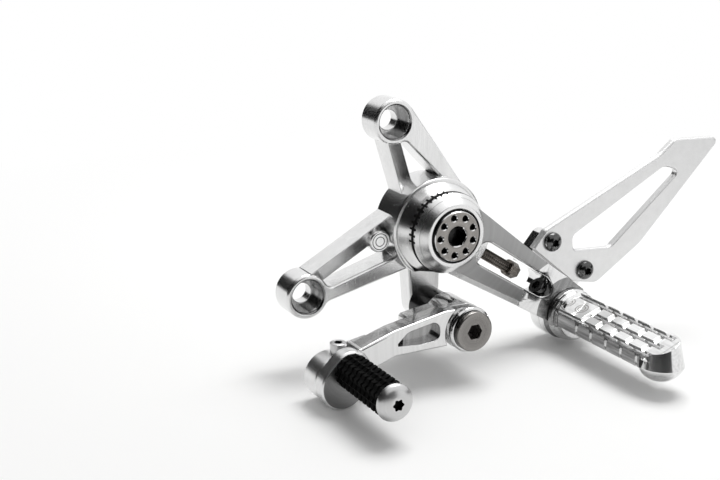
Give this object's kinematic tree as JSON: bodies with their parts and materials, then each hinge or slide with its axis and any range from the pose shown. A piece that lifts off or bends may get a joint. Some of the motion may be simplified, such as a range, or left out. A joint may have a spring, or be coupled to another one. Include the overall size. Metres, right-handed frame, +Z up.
{
  "type": "rear sets footrest",
  "caption": "Machined motorbike rear set for the left side: forked base plate with a clamped swinging footrest arm, block-cut footpeg, heel guard, and a foot lever with a knurled toe peg.",
  "frame": {"origin": "axis of the upper frame bolt hole, on the face that sits against the bike's frame", "axes": "+X towards the rear wheel, +Y into the bike's frame along the bolt axis, +Z up; the rider's foot is on the -Y side"},
  "size_m": [0.2171, 0.1039, 0.1114],
  "materials": {
    "machined_aluminium": "machined, satin to bright",
    "polished_aluminium": "polished",
    "satin_aluminium": "fine satin sheet",
    "titanium": "turned titanium grey",
    "black_steel": "black oxide",
    "bright_steel": "bright",
    "black_polymer": "matt",
    "black_anodised": "black anodised",
    "bronze": "sintered"
  },
  "bodies": {
    "base": {"base_plate": "machined_aluminium", "hub_screw": "black_steel", "clamp_nut": "titanium", "friction_washer": "black_polymer", "pivot_bolt": "titanium", "pivot_spacer": "black_anodised", "inner_thrust_washer": "black_polymer", "outer_thrust_washer": "black_polymer"},
    "arm": {"footrest_arm": "machined_aluminium", "hub_lock_bolt": "titanium", "peg_lock_screw": "black_steel", "footpeg": "polished_aluminium", "peg_bolt": "black_steel", "heel_guard": "satin_aluminium", "guard_screws": "titanium"},
    "lever": {"foot_lever": "polished_aluminium", "inner_bush": "bronze", "outer_bush": "bronze", "toe_set_screw": "bright_steel"},
    "toe": {"toe_holder": "polished_aluminium", "toe_sleeve": "black_anodised", "toe_screw": "bright_steel"}
  },
  "joints": [
    {"name": "arm_swing", "type": "hinge", "parent": "base", "child": "arm", "pos_m": [0.0185, -0.024, -0.046], "axis": [0, -1, 0], "range_deg": [-12, 12]},
    {"name": "lever_swing", "type": "hinge", "parent": "base", "child": "lever", "pos_m": [0.0154, -0.038, -0.0807], "axis": [0, -1, 0], "range_deg": [-12, 12]},
    {"name": "toe_turn", "type": "hinge", "parent": "lever", "child": "toe", "pos_m": [-0.0445, -0.044, -0.0922], "axis": [0, -1, 0], "range_deg": [-60, 60]}
  ]
}
